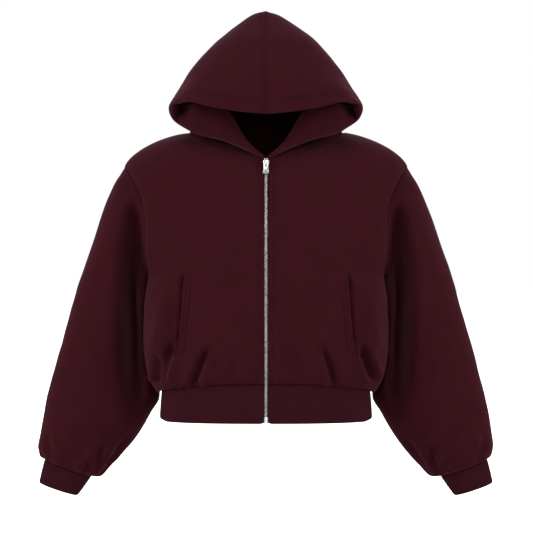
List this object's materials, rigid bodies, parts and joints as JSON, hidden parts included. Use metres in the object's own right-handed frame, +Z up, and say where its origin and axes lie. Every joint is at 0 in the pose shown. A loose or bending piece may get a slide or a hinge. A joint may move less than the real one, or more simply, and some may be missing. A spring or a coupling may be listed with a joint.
{
  "type": "zip up hoodie",
  "caption": "Filled-out fleece hoodie with a full-length front zip, raised hood, slanted welt pockets, full sleeves and ribbed hem and cuffs.",
  "frame": {"origin": "between the shoulders at the base of the neck, where a wearer carries the garment", "axes": "+Z up, the garment's front faces -Y, +X towards the wearer's left"},
  "size_m": [0.875, 0.2757, 0.933],
  "materials": {
    "fleece": "matt brushed fleece",
    "rib_knit": "matt rib knit",
    "zip_tape": "woven tape",
    "zip_metal": "bright nickel"
  },
  "bodies": {
    "garment": {"front_left": "fleece", "front_right": "fleece", "back": "fleece", "sleeve_left": "fleece", "sleeve_right": "fleece", "hood_left": "fleece", "hood_right": "fleece", "pocket_welt_left": "fleece", "pocket_welt_right": "fleece", "hem_rib": "rib_knit", "cuff_left": "rib_knit", "cuff_right": "rib_knit", "zip_tape_left": "zip_tape", "zip_tape_right": "zip_tape", "zip_chain": "zip_metal", "zip_pin": "zip_metal", "zip_box": "zip_metal", "top_stop_left": "zip_metal", "top_stop_right": "zip_metal", "zip_slider": "zip_metal"},
    "zip_pull": {"pull_tab": "zip_metal"}
  },
  "joints": [
    {"name": "pull_tab_hinge", "type": "hinge", "parent": "garment", "child": "zip_pull", "pos_m": [0, -0.10124, -0.05154], "axis": [-1, 0, 0], "range_deg": [0, 140]}
  ]
}
